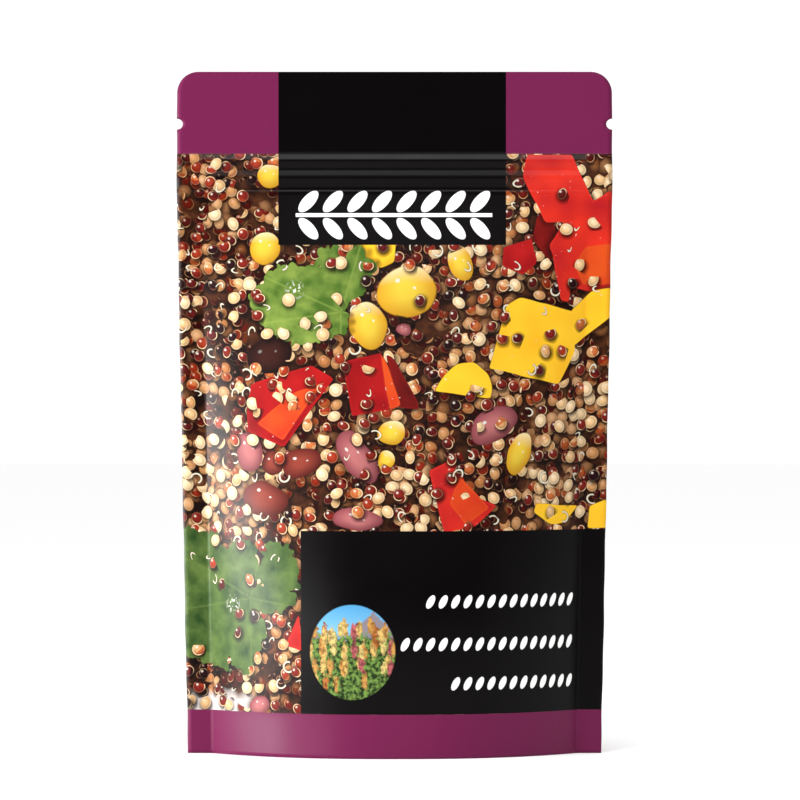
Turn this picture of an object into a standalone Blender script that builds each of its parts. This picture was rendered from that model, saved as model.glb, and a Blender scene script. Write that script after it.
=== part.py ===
# A filled stand-up pouch: printed film with flat side seals, a press-to-close zip under the
# header, a tear notch at each side and a gusseted base that opens into a lens-shaped foot.
# Metres, +Z up, front towards -Y, origin on the floor at the middle of the base.

from math import pi, radians, sin, sqrt

import bmesh
import bpy

# Outline
HEIGHT = 0.250
TOP_WIDTH = 0.160
BASE_WIDTH = 0.152
TAPER_HEIGHT = 0.205  # the filling draws the sides in below this height
TOP_CORNER_RADIUS = 0.008
SIDE_SEAL_WIDTH = 0.009
SEAL_THICKNESS = 0.0008

# Filled body, front to back
BELLY_DEPTH = 0.068
BELLY_HEIGHT = 0.046
BASE_DEPTH = 0.064
LENS_POWER = 2.5  # a section is a lens: 1 - |across| ** LENS_POWER
SHOULDER_POWER = 1.6
SHOULDER_FULLNESS = 1.1

# Zip: two rounded welts, the upper one narrower
ZIP_BOTTOM = 0.2072
ZIP_SPLIT = 0.2142
ZIP_TOP = 0.2197
ZIP_RELIEF = 0.0009
ZIP_CRUSH = 0.3  # what is left of the relief inside the side seals

# Tear notches
NOTCH_HEIGHT = 0.2308
NOTCH_RADIUS = 0.0021
NOTCH_SIDES = 24
NOTCH_CUT_DEPTH = 0.010

# Base gusset: a rim all round, a middle pressed to the floor, a pocket towards each side seal
RIM_THICKNESS = 0.0012
GUSSET_LIFT_MIDDLE = 0.005
GUSSET_LIFT_POCKET = 0.022
POCKET_START = 0.35  # fractions of the way from the middle to a side seal
POCKET_FULL = 0.80
POCKET_CLOSING_POWER = 8
PRESSED_END = 0.45
PRESSED_FADE = 0.75
PRESSED_FRONT = 0.40  # fractions of the way from the centre line to the rim
PRESSED_LIFT = 0.88

# Mesh density
LENS_COLUMNS = 30
GUSSET_ROWS = 10
BODY_ROWS = 22
WELT_ROWS = 4
CORNER_ROWS = 4

MERGE_DISTANCE = 0.00002
SHARP_ANGLE = radians(35)

FILM_COLOUR = (0.185, 0.027, 0.093, 1.0)
FILM_ROUGHNESS = 0.42
FILM_METALLIC = 0.0


def smooth_step(low, high, value):
    t = min(max((value - low) / (high - low), 0.0), 1.0)
    return t * t * (3.0 - 2.0 * t)


def half_width(z):
    """Half the pouch's width at a height, rounded off at the top corners."""
    half = BASE_WIDTH / 2 + (TOP_WIDTH - BASE_WIDTH) / 2 * min(z / TAPER_HEIGHT, 1.0)
    into_corner = z - (HEIGHT - TOP_CORNER_RADIUS)
    if into_corner > 0:
        rest = TOP_CORNER_RADIUS**2 - min(into_corner, TOP_CORNER_RADIUS) ** 2
        half += sqrt(rest) - TOP_CORNER_RADIUS
    return half


def middle_swell(z):
    """How far the front stands off the seal plane on the centre line."""
    if z >= ZIP_BOTTOM:
        return 0.0
    full = (BELLY_DEPTH - SEAL_THICKNESS) / 2
    if z < BELLY_HEIGHT:
        below = (BELLY_HEIGHT - z) / BELLY_HEIGHT
        return full - (BELLY_DEPTH - BASE_DEPTH) / 2 * below**2
    above = (z - BELLY_HEIGHT) / (ZIP_BOTTOM - BELLY_HEIGHT)
    return full * (1.0 - above**SHOULDER_POWER) ** SHOULDER_FULLNESS


def welt_relief(z):
    """Height of the zip's welts, each an arc across its own width."""
    for low, high in ((ZIP_BOTTOM, ZIP_SPLIT), (ZIP_SPLIT, ZIP_TOP)):
        if low < z < high:
            across_welt = 2.0 * (z - low) / (high - low) - 1.0
            return ZIP_RELIEF * (1.0 - across_welt**2)
    return 0.0


def half_depth(across, z):
    """Half the pouch's thickness; across runs from -1 to 1 between the side seals."""
    inside = min(abs(across), 1.0)
    lens = 1.0 - inside**LENS_POWER
    welt = welt_relief(z) * (ZIP_CRUSH if inside >= 1.0 else 1.0)
    return SEAL_THICKNESS / 2 + middle_swell(z) * lens + welt


def gusset_height(across, to_rim):
    """Height of the base film above the floor; to_rim is 0 on the centre line and 1 at the rim."""
    side = min(abs(across), 1.0)
    pocket = smooth_step(POCKET_START, POCKET_FULL, side)
    lift = GUSSET_LIFT_MIDDLE + (GUSSET_LIFT_POCKET - GUSSET_LIFT_MIDDLE) * pocket
    lift *= 1.0 - side**POCKET_CLOSING_POWER
    pressed = 1.0 - smooth_step(PRESSED_END, PRESSED_FADE, side)
    held_down = pressed * (1.0 - smooth_step(PRESSED_FRONT, PRESSED_LIFT, to_rim))
    return lift * sqrt(max(1.0 - to_rim**2, 0.0)) * (1.0 - held_down)


def column_places():
    """Columns, left to right, as (across, share of the side seal, share of the depth)."""
    lens = [(2.0 * i / LENS_COLUMNS - 1.0, 0.0, 1.0) for i in range(LENS_COLUMNS + 1)]
    left = [(-1.0, 1.0, 0.0), (-1.0, 1.0, 1.0)]
    right = [(1.0, 1.0, 1.0), (1.0, 1.0, 0.0)]
    return left + lens + right


def front_heights():
    """Heights of the rows up the front, closer together at the zip and the top corners."""
    heights = [ZIP_BOTTOM * i / BODY_ROWS for i in range(BODY_ROWS + 1)]
    for low, high in ((ZIP_BOTTOM, ZIP_SPLIT), (ZIP_SPLIT, ZIP_TOP)):
        heights += [low + (high - low) * i / WELT_ROWS for i in range(1, WELT_ROWS + 1)]
    heights += [(ZIP_TOP + NOTCH_HEIGHT) / 2, NOTCH_HEIGHT]
    for i in range(CORNER_ROWS + 1):
        turn = pi / 2 * i / CORNER_ROWS
        heights.append(HEIGHT - TOP_CORNER_RADIUS * (1.0 - sin(turn)))
    return heights


def base_point(column, row):
    """A point under the front half, from the centre line out to the inside of the rim."""
    across, seal_share, depth_share = column
    to_rim = sin(pi / 2 * row / GUSSET_ROWS)
    x = across * (half_width(0.0) - SIDE_SEAL_WIDTH * (1.0 - seal_share))
    inner_depth = max(half_depth(across, 0.0) * depth_share - RIM_THICKNESS, 0.0)
    return x, -inner_depth * to_rim, gusset_height(across, to_rim)


def front_point(column, z, closing=False):
    """A point of the front film, or of the top edge where the front closes on the back."""
    across, seal_share, depth_share = column
    x = across * (half_width(z) - SIDE_SEAL_WIDTH * (1.0 - seal_share))
    return x, 0.0 if closing else -half_depth(across, z) * depth_share, z


def make_front_half(collection):
    """A grid bent under the base, up the front and over the top, open where the back joins."""
    columns = column_places()
    heights = front_heights()
    rows = [[base_point(column, row) for column in columns] for row in range(GUSSET_ROWS + 1)]
    rows += [[front_point(column, z) for column in columns] for z in heights]
    rows.append([front_point(column, HEIGHT, closing=True) for column in columns])
    last_column = len(columns) - 1
    last_row = len(rows) - 1
    bm = bmesh.new()
    bmesh.ops.create_grid(bm, x_segments=last_column, y_segments=last_row, size=1.0)
    for vert in bm.verts:
        column = round((vert.co.x + 1.0) / 2 * last_column)
        row = round((vert.co.y + 1.0) / 2 * last_row)
        vert.co = rows[row][column]
    bmesh.ops.remove_doubles(bm, verts=bm.verts, dist=MERGE_DISTANCE)
    mesh = bpy.data.meshes.new("pouch")
    bm.to_mesh(mesh)
    bm.free()
    pouch = bpy.data.objects.new("pouch", mesh)
    collection.objects.link(pouch)
    return pouch


def make_notch_cutters(collection):
    """One round bar across each side seal, centred on the pouch's edge."""
    for name, side in (("notch_cutter_left", -1), ("notch_cutter_right", 1)):
        bpy.ops.mesh.primitive_cylinder_add(
            vertices=NOTCH_SIDES,
            radius=NOTCH_RADIUS,
            depth=NOTCH_CUT_DEPTH,
            location=(side * half_width(NOTCH_HEIGHT), 0.0, NOTCH_HEIGHT),
            rotation=(pi / 2, 0.0, 0.0),
        )
        cutter = bpy.context.object
        cutter.name = name
        cutter.hide_render = True
        cutter.display_type = "WIRE"
        for owner in list(cutter.users_collection):
            owner.objects.unlink(cutter)
        collection.objects.link(cutter)


def make_film_material():
    material = bpy.data.materials.new("printed_film")
    material.use_nodes = True
    shader = material.node_tree.nodes["Principled BSDF"]
    shader.inputs["Base Color"].default_value = FILM_COLOUR
    shader.inputs["Roughness"].default_value = FILM_ROUGHNESS
    shader.inputs["Metallic"].default_value = FILM_METALLIC
    return material


def finish_pouch(pouch, cutters):
    """Mirrors the half into a closed body, cuts the notches and shades the film smooth."""
    mirror = pouch.modifiers.new("back_half", "MIRROR")
    mirror.use_axis = (False, True, False)
    mirror.merge_threshold = MERGE_DISTANCE
    notches = pouch.modifiers.new("tear_notches", "BOOLEAN")
    notches.operation = "DIFFERENCE"
    notches.operand_type = "COLLECTION"
    notches.collection = cutters
    pouch.data.materials.append(make_film_material())
    pouch.data.shade_smooth()
    pouch.data.set_sharp_from_angle(angle=SHARP_ANGLE)


def main():
    for old in list(bpy.data.objects):
        bpy.data.objects.remove(old, do_unlink=True)
    parts = bpy.data.collections.new("stand_up_pouch")
    cutters = bpy.data.collections.new("cutters")
    for collection in (parts, cutters):
        bpy.context.scene.collection.children.link(collection)
    make_notch_cutters(cutters)
    finish_pouch(make_front_half(parts), cutters)


main()
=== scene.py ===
from math import hypot, pi, radians

import bpy
import numpy as np
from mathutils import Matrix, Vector


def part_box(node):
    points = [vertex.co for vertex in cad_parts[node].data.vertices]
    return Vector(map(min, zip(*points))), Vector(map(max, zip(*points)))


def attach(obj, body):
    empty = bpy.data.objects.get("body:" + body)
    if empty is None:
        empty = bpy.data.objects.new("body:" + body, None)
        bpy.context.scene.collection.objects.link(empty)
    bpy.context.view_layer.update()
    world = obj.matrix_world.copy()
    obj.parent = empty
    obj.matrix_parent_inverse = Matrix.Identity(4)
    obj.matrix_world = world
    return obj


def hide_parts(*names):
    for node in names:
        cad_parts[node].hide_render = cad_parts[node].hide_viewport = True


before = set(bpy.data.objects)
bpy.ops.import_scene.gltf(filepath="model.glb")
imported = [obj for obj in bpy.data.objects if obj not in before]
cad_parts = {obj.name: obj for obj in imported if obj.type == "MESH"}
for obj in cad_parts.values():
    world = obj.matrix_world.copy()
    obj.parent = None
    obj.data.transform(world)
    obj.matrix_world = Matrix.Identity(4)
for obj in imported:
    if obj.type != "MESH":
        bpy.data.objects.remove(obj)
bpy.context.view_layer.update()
boxLow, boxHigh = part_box("pouch")
print("frame loaded")

# All lengths are metres, except in the print, which is laid out in millimetres
# from the middle of the pouch's foot.


# Shader and geometry maths

class Reading:
    # one output of a node; arithmetic on it adds Math nodes
    def __init__(self, desk, socket):
        self.desk = desk
        self.socket = socket

    def also(self, name):  # another output of the same node
        return Reading(self.desk, self.socket.node.outputs[name])

    def __add__(self, other):
        return self.desk.sum("ADD", self, other)

    def __sub__(self, other):
        return self.desk.sum("SUBTRACT", self, other)

    def __rsub__(self, other):
        return self.desk.sum("SUBTRACT", other, self)

    def __mul__(self, other):
        return self.desk.sum("MULTIPLY", self, other)

    def __truediv__(self, other):
        return self.desk.sum("DIVIDE", self, other)

    def __rtruediv__(self, other):
        return self.desk.sum("DIVIDE", other, self)

    def __pow__(self, other):
        return self.desk.sum("POWER", self, other)

    def __abs__(self):
        return self.desk.sum("ABSOLUTE", self)

    __radd__ = __add__
    __rmul__ = __mul__


class Desk:
    # where a material's or a shape's nodes are put together
    def __init__(self, tree):
        self.tree = tree

    def feed(self, socket, value):
        if isinstance(value, Reading):
            self.tree.links.new(value.socket, socket)
        else:
            socket.default_value = value

    def node(self, kind, settings=None, sockets=None, out=0):
        made = self.tree.nodes.new(kind)
        for name, value in (settings or {}).items():
            if name == "stops":
                self.setStops(made.color_ramp, value)
            elif name == "hold":
                made.color_ramp.interpolation = "CONSTANT"
            else:
                setattr(made, name, value)
        for key, value in (sockets or {}).items():
            self.feed(made.inputs[key], value)
        return Reading(self, made.outputs[out]) if made.outputs else None

    def setStops(self, ramp, stops):
        while len(ramp.elements) < len(stops):
            ramp.elements.new(0.5)
        for element, (place, colour) in zip(ramp.elements, stops):
            element.position = place
            element.color = colour

    def sum(self, operation, *terms, clamp=False):
        settings = {"operation": operation, "use_clamp": clamp}
        return self.node("ShaderNodeMath", settings, dict(enumerate(terms)))

    def fold(self, operation, terms, *extra):
        folded = terms[0]
        for term in terms[1:]:
            folded = self.sum(operation, folded, term, *extra)
        return folded

    def vector(self, operation, *terms, out=0):
        settings = {"operation": operation}
        return self.node("ShaderNodeVectorMath", settings, dict(enumerate(terms)), out)

    def dot(self, point, weights):
        return self.vector("DOT_PRODUCT", point, weights, out="Value")

    def length(self, arrow):
        return self.vector("LENGTH", arrow, out="Value")

    def distance(self, place, other):
        return self.vector("DISTANCE", place, other, out="Value")

    def parts(self, arrow):  # its x; also() gives its Y and Z
        return self.node("ShaderNodeSeparateXYZ", None, {0: arrow})

    def arrow(self, x, y, z=0.0):
        return self.node("ShaderNodeCombineXYZ", None, {0: x, 1: y, 2: z})

    def brighten(self, colour, factor):
        settings = {"operation": "SCALE"}
        return self.node("ShaderNodeVectorMath", settings, {0: colour, "Scale": factor})

    def mix(self, share, under, over):
        settings = {"data_type": "RGBA"}
        return self.node("ShaderNodeMix", settings, {0: share, 6: under, 7: over}, 2)

    def noise(self, place, scale, detail, dimensions="3D"):
        return self.node("ShaderNodeTexNoise", {"noise_dimensions": dimensions},
                         {"Vector": place, "Scale": scale, "Detail": detail})

    def cells(self, place, scale, scatter, out=0):
        return self.node("ShaderNodeTexVoronoi", {"voronoi_dimensions": "2D"},
                         {"Vector": place, "Scale": scale, "Randomness": scatter}, out)

    def local(self, place, middle, half=(1.0, 1.0), turn=0.0):
        # a place seen from a frame of its own, which is turned in degrees
        return self.node("ShaderNodeMapping", {"vector_type": "TEXTURE"}, {
            "Vector": place, "Location": (*middle, 0.0), "Scale": (*half, 1.0),
            "Rotation": (0.0, 0.0, radians(turn))})

    def rise(self, value, zeroAt, oneAt):
        # 0 at one value and 1 at another, clamped between
        slope = 1.0 / (oneAt - zeroAt)
        return self.sum("MULTIPLY_ADD", value, slope, -zeroAt * slope, clamp=True)

    def inside(self, value, low, high, soft=0.12):
        # 1 between two edges, with a soft step of a fraction of a millimetre
        rising = self.rise(value, low - soft / 2, low + soft / 2)
        return rising * self.rise(value, high + soft / 2, high - soft / 2)


def paint(red, green, blue, alpha=1.0):  # a colour on the 0 to 255 scale, made linear
    linear = []
    for level in (red, green, blue):
        level /= 255
        linear.append(level / 12.92 if level <= 0.04045 else ((level + 0.055) / 1.055) ** 2.4)
    return (*linear, alpha)


# Shape of the films

pouch = {
    "height": boxHigh.z,
    "topWidth": boxHigh.x - boxLow.x,
    "baseWidth": 0.152,
    "taperHeight": 0.205,
    "cornerRadius": 0.008,
    "sideSeal": 0.009,
    "bellyDepth": boxHigh.y - boxLow.y,
    "bellyHeight": 0.046,
    "baseDepth": 0.064,
    "footFlare": 0.0022,  # the sealed foot turns outwards by this much
    "footHeight": 0.016,
    "footCurl": 1.15,
    "lensPower": 2.5,
    "shoulderPower": 1.6,
    "shoulderFullness": 1.1,
    "zipBottom": 0.2072,
    "zipSplit": 0.2142,
    "zipTop": 0.2197,
    "zipRelief": 0.0011,
    "zipCrest": 0.60,  # how far up a welt its crest is
    "zipSoftness": 0.35,
    "zipCrush": 0.3,  # what is left of a welt inside the side seals
    "crushWidth": 0.0012,
    "notchHeight": 0.2308,
    "notchDepth": 0.0022,
    "notchHalf": 0.0020,
    "sealHalf": 0.00026,  # half of the two films together
    "filmThickness": 0.00022,
    "edgeWave": 0.00014,  # how far the cut edge wanders
    "edgeRipples": (95.0, 211.0),  # radians for each metre up the edge
    "edgeStart": 1.3,
}

creases = [  # lines that the zip leaves in the film: height, half width and relief
    (0.2201, 0.0005, -0.00020),
    (0.2143, 0.00045, 0.00012),
    (0.2061, 0.00045, 0.00016),
]

blankMesh = {
    "bodyRows": 150,
    "weltRows": 14,
    "weltCrowding": 1.8,  # rows crowd towards a welt's top
    "gapRows": 7,
    "notchRows": 12,
    "cornerRows": 10,
    "lensColumns": 104,
    "edgeCrowding": 0.25,  # columns crowd towards the side seals
    "sealShares": (0.08, 0.3, 0.55, 0.8, 1.0),
    "creaseShares": (-1.0, -0.6, -0.25, 0.0, 0.25, 0.6, 1.0),
    "leastGap": 0.00002,  # rows closer together than this are one
}


def taperedHalfWidth(z):
    drawn = np.minimum(z / pouch["taperHeight"], 1.0)
    return (pouch["baseWidth"] + (pouch["topWidth"] - pouch["baseWidth"]) * drawn) / 2


def cutEdge(z):
    # the film's cut outline: rounded top corners, a tear notch and a slightly wandering edge
    half = taperedHalfWidth(z)
    radius = pouch["cornerRadius"]
    intoCorner = np.clip(z - (pouch["height"] - radius), 0.0, radius)
    half = half + np.sqrt(radius**2 - intoCorner**2) - radius
    fromNotch = np.clip(np.abs(z - pouch["notchHeight"]) / pouch["notchHalf"], 0.0, 1.0)
    half = half - pouch["notchDepth"] * np.sqrt(1.0 - fromNotch**2)
    slow, fast = pouch["edgeRipples"]
    wave = np.sin(z * slow) * np.sin(z * fast + pouch["edgeStart"]) - 1.0
    return half + pouch["edgeWave"] * wave


def blankRows():
    counts, bag = blankMesh, pouch
    quarter = np.linspace(0.0, pi / 2, counts["cornerRows"] + 1)[1:]
    notchTurn = np.linspace(-pi / 2, pi / 2, counts["notchRows"] + 1)[1:]
    notchLow = bag["notchHeight"] - bag["notchHalf"]
    cornerLow = bag["height"] - bag["cornerRadius"]
    left = 1.0 - np.linspace(0.0, 1.0, counts["weltRows"] + 1)[1:]
    rising = 1.0 - left ** counts["weltCrowding"]
    lines = [middle + half * part for middle, half, _ in creases for part in counts["creaseShares"]]
    heights = np.sort(np.concatenate([
        np.linspace(0.0, bag["zipBottom"], counts["bodyRows"]),
        bag["zipBottom"] + (bag["zipSplit"] - bag["zipBottom"]) * rising,
        bag["zipSplit"] + (bag["zipTop"] - bag["zipSplit"]) * rising,
        lines,
        np.linspace(bag["zipTop"], notchLow, counts["gapRows"] + 1)[1:],
        bag["notchHeight"] + bag["notchHalf"] * np.sin(notchTurn),
        np.linspace(bag["notchHeight"] + bag["notchHalf"], cornerLow, counts["gapRows"])[1:],
        cornerLow + bag["cornerRadius"] * np.sin(quarter),
    ]))
    apart = np.concatenate([[True], np.diff(heights) > counts["leastGap"]])
    return heights[apart]


def blankColumns(z):
    # across a row: the lens between the seals, with a side seal at each end
    inner = taperedHalfWidth(z) - pouch["sideSeal"]
    spread = np.linspace(-1.0, 1.0, blankMesh["lensColumns"] + 1)
    crowd = blankMesh["edgeCrowding"]
    lens = inner * spread * (1.0 + crowd - crowd * spread**2)
    seal = inner + (cutEdge(z) - inner) * np.array(blankMesh["sealShares"])
    return np.concatenate([-seal[::-1], lens, seal])


def gridMesh(name, points):
    # a sheet of quads through a block of points, rows by columns
    rows, columns = points.shape[:2]
    corner = np.arange(rows * columns).reshape(rows, columns)
    quads = np.stack([corner[:-1, :-1], corner[:-1, 1:], corner[1:, 1:], corner[1:, :-1]], -1)
    mesh = bpy.data.meshes.new(name)
    mesh.from_pydata(points.reshape(-1, 3).tolist(), [], quads.reshape(-1, 4).tolist())
    mesh.shade_smooth()
    return mesh


def formingTree(side):
    # fills the flat blank: swells it between the seals and raises the zip's two welts
    tree = bpy.data.node_groups.new("fill the blank", "GeometryNodeTree")
    face = tree.interface
    face.new_socket("Geometry", in_out="INPUT", socket_type="NodeSocketGeometry")
    face.new_socket("Geometry", in_out="OUTPUT", socket_type="NodeSocketGeometry")
    names = ["baseWidth", "topWidth", "taperHeight", "sideSeal", "bellyDepth", "bellyHeight",
             "baseDepth", "footFlare", "footHeight", "footCurl", "lensPower", "shoulderPower",
             "shoulderFullness", "zipBottom", "zipSplit", "zipTop", "zipRelief", "zipCrest",
             "zipSoftness", "zipCrush", "crushWidth", "sealHalf"]
    for name in names:
        face.new_socket(name, in_out="INPUT", socket_type="NodeSocketFloat")
    face.new_socket("Film", in_out="INPUT", socket_type="NodeSocketMaterial")
    desk = Desk(tree)
    given = desk.node("NodeGroupInput")
    read = {name: given.also(name) for name in names}
    place = desk.parts(desk.node("GeometryNodeInputPosition"))
    x, z = abs(place), place.also("Z")

    drawn = desk.sum("MINIMUM", z / read["taperHeight"], 1.0)
    halfWidth = (read["baseWidth"] + (read["topWidth"] - read["baseWidth"]) * drawn) * 0.5
    inner = halfWidth - read["sideSeal"]
    across = desk.sum("MINIMUM", x / inner, 1.0)
    lens = 1.0 - across ** read["lensPower"]

    full = read["bellyDepth"] * 0.5 - read["sealHalf"]
    below = desk.sum("MAXIMUM", read["bellyHeight"] - z, 0.0) / read["bellyHeight"]
    upBody = (z - read["bellyHeight"]) / (read["zipBottom"] - read["bellyHeight"])
    upBody = desk.sum("MINIMUM", desk.sum("MAXIMUM", upBody, 0.0), 1.0)
    shoulder = (1.0 - upBody ** read["shoulderPower"]) ** read["shoulderFullness"]
    footDrop = (read["bellyDepth"] - read["baseDepth"]) * 0.5
    foot = desk.sum("MAXIMUM", 1.0 - z / read["footHeight"], 0.0) ** read["footCurl"]
    swell = full * shoulder - footDrop * below * below + read["footFlare"] * foot

    relief = 0.0
    for low, high in (("zipBottom", "zipSplit"), ("zipSplit", "zipTop")):
        climb = desk.sum("MULTIPLY", z - read[low], 1.0 / (read[high] - read[low]), clamp=True)
        upTo, downFrom = climb / read["zipCrest"], (1.0 - climb) / (1.0 - read["zipCrest"])
        relief = desk.sum("SMOOTH_MIN", upTo, downFrom, read["zipSoftness"]) + relief
    crushed = desk.node("ShaderNodeMapRange", {"interpolation_type": "SMOOTHSTEP"},
                        {"Value": x - inner, "From Min": 0.0, "From Max": read["crushWidth"]})
    relief = relief * read["zipRelief"] * (1.0 - crushed * (1.0 - read["zipCrush"]))

    for middle, half, height in creases:  # both films are creased together
        near = desk.sum("MAXIMUM", 1.0 - abs(z - middle) * (1.0 / half), 0.0)
        relief = near * (height * -side) + relief

    depth = (read["sealHalf"] + swell * lens + relief) * side
    moved = desk.arrow(place, depth, z)
    formed = desk.node("GeometryNodeSetPosition", None, {"Geometry": given, "Position": moved})
    real = desk.node("GeometryNodeRealizeInstances", None, {0: formed})
    dressed = desk.node("GeometryNodeSetMaterial", None, {0: real, "Material": given.also("Film")})
    desk.node("NodeGroupOutput", None, {0: dressed})
    return tree


def putIn(name, data):
    thing = bpy.data.objects.new(name, data)
    bpy.context.scene.collection.objects.link(thing)
    return thing


def settle(piece, name):
    # turns a piece's modifiers into its plain mesh
    graph = bpy.context.evaluated_depsgraph_get()
    mesh = bpy.data.meshes.new_from_object(piece.evaluated_get(graph))
    mesh.name = name
    bpy.data.objects.remove(piece)
    return putIn(name, mesh)


def layPrint(mesh, shape):
    # the print lies on the film, so across the pouch it is measured along the surface
    points = np.empty(len(mesh.vertices) * 3)
    mesh.vertices.foreach_get("co", points)
    points = points.reshape(*shape, 3)
    steps = np.linalg.norm(np.diff(points, axis=1)[:, :, :2], axis=2)
    along = np.concatenate([np.zeros((shape[0], 1)), np.cumsum(steps, axis=1)], axis=1)
    along = along - along[:, shape[1] // 2][:, None]
    place = np.stack([along, points[:, :, 2]], -1).reshape(-1, 2)
    corners = np.empty(len(mesh.loops), dtype=np.int32)
    mesh.loops.foreach_get("vertex_index", corners)
    layer = mesh.uv_layers.new(name="print")
    layer.data.foreach_set("uv", (place[corners] * 1000.0).ravel())


def thicken(piece, name):
    wall = piece.modifiers.new("film", "SOLIDIFY")
    wall.thickness = pouch["filmThickness"]
    wall.offset = -1.0
    return settle(piece, name)


def makePanel(name, side, film):
    # side is -1 for the front film and 1 for the back film
    rows = blankRows()
    columns = [blankColumns(z) for z in rows]
    flat = np.stack([np.stack([xs, np.zeros_like(xs), np.full_like(xs, z)], -1)
                     for xs, z in zip(columns, rows)])
    if side > 0:
        flat = flat[:, ::-1]
    blank = putIn(name, gridMesh(name, flat))
    forming = blank.modifiers.new("forming", "NODES")
    tree = formingTree(side)
    forming.node_group = tree
    for item in tree.interface.items_tree:
        if item.in_out == "INPUT" and item.name in pouch:
            forming[item.identifier] = pouch[item.name]
        elif item.name == "Film":
            forming[item.identifier] = film
    formed = settle(blank, name)
    layPrint(formed.data, flat.shape[:2])
    panel = thicken(formed, name)
    print(name, "formed,", len(panel.data.polygons), "faces")
    return panel


base = {
    "rimGap": 0.00030,  # the base film is sealed inside the front and back
    "liftMiddle": 0.005,
    "liftPocket": 0.022,
    "pocketStart": 0.35,
    "pocketFull": 0.80,
    "closingPower": 8,
    "pressedEnd": 0.45,
    "pressedFade": 0.75,
    "pressedFront": 0.40,
    "pressedLift": 0.88,
    "reach": 0.985,  # how far towards the side seals the loose base film goes
    "columns": 90,
    "rows": 60,
}


def eased(low, high, value):
    share = np.clip((value - low) / (high - low), 0.0, 1.0)
    return share * share * (3.0 - 2.0 * share)


def makeBase(name, film):
    # the gusset film: pressed to the floor in the middle, a pocket towards each side seal
    across = np.linspace(-base["reach"], base["reach"], base["columns"])[None, :]
    turn = np.linspace(-pi / 2, pi / 2, base["rows"])[:, None]
    side = np.abs(across)
    toRim = np.abs(np.sin(turn))
    innerWidth = taperedHalfWidth(0.0) - pouch["sideSeal"]
    lens = 1.0 - side ** pouch["lensPower"]
    rim = pouch["baseDepth"] / 2 - pouch["sealHalf"] + pouch["footFlare"]
    depth = pouch["sealHalf"] + rim * lens - base["rimGap"]
    pocket = eased(base["pocketStart"], base["pocketFull"], side)
    lift = base["liftMiddle"] + (base["liftPocket"] - base["liftMiddle"]) * pocket
    lift = lift * (1.0 - side ** base["closingPower"])
    pressed = 1.0 - eased(base["pressedEnd"], base["pressedFade"], side)
    heldDown = pressed * (1.0 - eased(base["pressedFront"], base["pressedLift"], toRim))
    z = lift * np.cos(turn) * (1.0 - heldDown)
    x = np.broadcast_to(across * innerWidth, z.shape)
    points = np.stack([x, depth * np.sin(turn), z], -1)[:, ::-1]
    sheet = putIn(name, gridMesh(name, points))
    sheet.data.materials.append(film)
    made = thicken(sheet, name)
    print(name, "formed,", len(made.data.polygons), "faces")
    return made


# Colours of the print

inks = {
    "purple": paint(103, 29, 68),
    "black": paint(3, 1, 2),
    "white": paint(250, 250, 248),
}


def newFilm(name):
    film = bpy.data.materials.new(name)
    film.use_nodes = True
    film.node_tree.nodes.clear()
    return film, Desk(film.node_tree)


finish = {
    "roughness": 0.30,
    "roughnessDrift": 0.06,
    "driftScale": 60.0,
    "specular": 0.09,
    "grainScale": 2600.0,
    "grainStrength": 0.05,
    "grainHeight": 0.0002,
}


def closeFilm(desk, colour):
    # satin laminate over the print: soft gloss that drifts a little, and a fine grain
    where = desk.node("ShaderNodeTexCoord", None, None, "Object")
    drift = desk.noise(where, finish["driftScale"], 2.0)
    grain = desk.noise(where, finish["grainScale"], 1.0)
    bump = desk.node("ShaderNodeBump", None, {"Strength": finish["grainStrength"],
                                              "Distance": finish["grainHeight"], "Height": grain})
    roughness = (drift - 0.5) * (2.0 * finish["roughnessDrift"]) + finish["roughness"]
    shader = desk.node("ShaderNodeBsdfPrincipled", None, {
        "Base Color": colour, "Roughness": roughness, "Normal": bump,
        "Specular IOR Level": finish["specular"]})
    desk.node("ShaderNodeOutputMaterial", None, {"Surface": shader})


# Print, in millimetres on the flat film: x to the right of the middle, z up from the foot

grainLook = {
    # how dark a kind of grain is decides its colour; the alpha is how pale its rim is
    "kinds": [
        (0.00, paint(248, 221, 178, 0.45)),
        (0.16, paint(240, 202, 150, 0.55)),
        (0.31, paint(222, 170, 116, 0.70)),
        (0.38, paint(198, 112, 62, 0.85)),
        (0.44, paint(166, 58, 34, 0.95)),
        (0.54, paint(128, 36, 28, 0.95)),
        (0.68, paint(90, 24, 24, 0.80)),
        (0.85, paint(38, 12, 16, 0.45)),
    ],
    "kindSpread": 0.90,  # how far the kind differs from one grain to the next
    "kindStart": 0.02,
    "darkShrink": 0.20,  # the darkest grains are smaller by this much
    "squash": 0.40,
    # places and sizes on a grain are shares of its radius
    "shadowAt": (0.16, -0.30),
    "shadowEdge": (1.45, 0.75),
    "litAt": (-0.26, 0.32),
    "litLevel": 1.36,
    "litFall": 0.36,  # how fast it darkens away from the light
    "edgeFall": 0.20,
    "band": 0.20,  # how much darker a grain is between its middle and its rim
    "bandAt": 0.66,
    "bandHalf": 0.18,
    "rimAt": 0.92,
    "rimEdge": (0.11, 0.04),
    "rimSide": (1.0, 0.25, 0.0),
    "rimTurn": 0.55,
    "rimLeast": 0.12,
    "glintEdge": (0.24, 0.10),
    "glintShare": 0.8,
    "rim": paint(252, 226, 182),
    "glint": paint(255, 250, 240),
    "shade": paint(24, 9, 6),
}

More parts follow.
